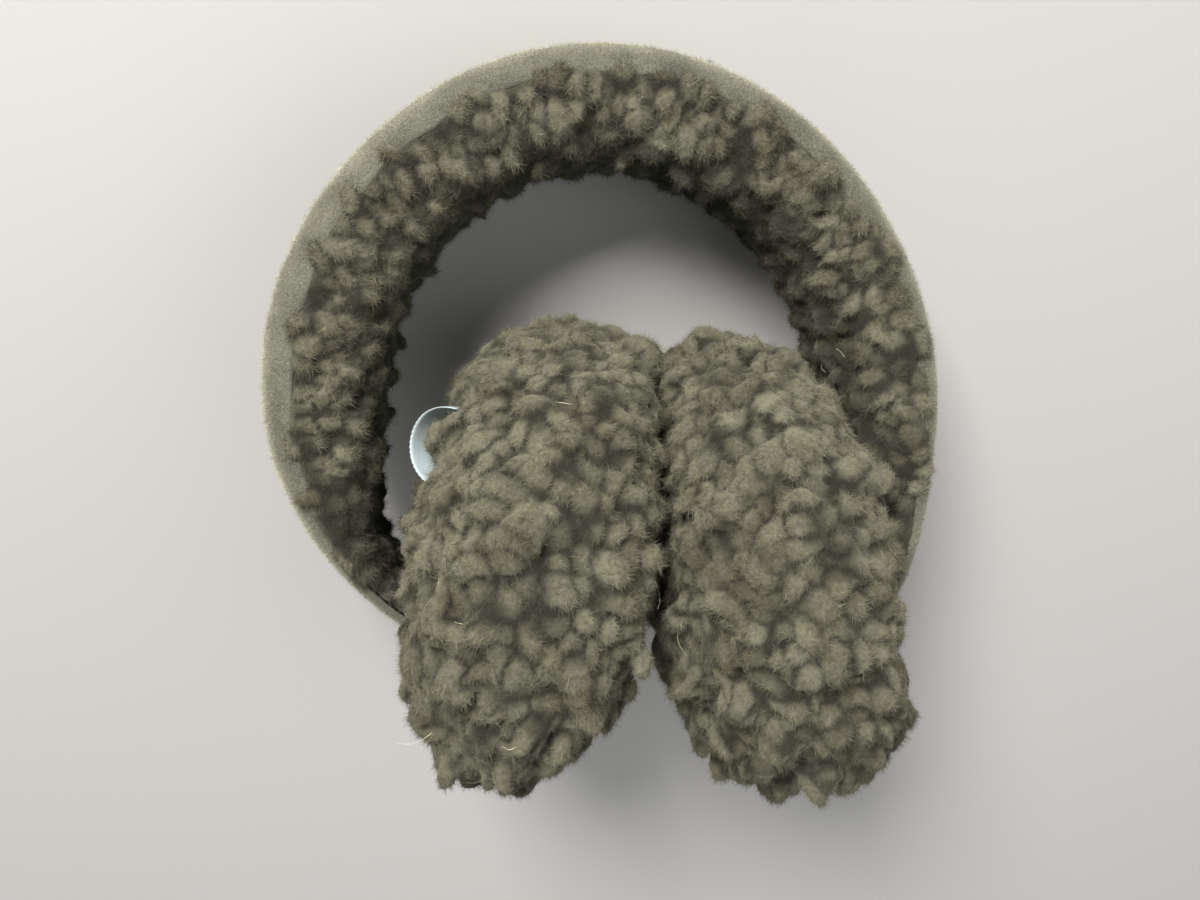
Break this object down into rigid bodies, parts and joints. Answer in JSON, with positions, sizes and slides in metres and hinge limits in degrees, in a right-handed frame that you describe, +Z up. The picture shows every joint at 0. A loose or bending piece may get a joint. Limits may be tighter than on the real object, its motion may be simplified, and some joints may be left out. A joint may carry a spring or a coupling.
{
  "type": "fur earmuffs",
  "caption": "Sheepskin earmuffs lying on their back: a round headband with a suede outside and deep fleece inside, thick curly ear pads that meet below, and a bare ribbon loop.",
  "frame": {"origin": "middle of the bounding box's bottom face, on the floor that the earmuffs lie on", "axes": "+Z up from the floor, which is the wearer's front; +Y towards the top of the headband; +X towards the pad without the ribbon loop"},
  "size_m": [0.1684, 0.1882, 0.1209],
  "materials": {
    "suede": "brushed suede, grey-brown, with a fine nap",
    "fleece": "undipped curly sheepskin wool, grey-brown, matte",
    "ribbon": "pale blue-white satin ribbon with a picot edge, unprinted"
  },
  "bodies": {
    "root": {"headband_suede": "suede", "headband_fleece": "fleece", "ear_pad_left": "fleece", "ear_pad_right": "fleece", "label_loop": "ribbon"}
  },
  "joints": []
}
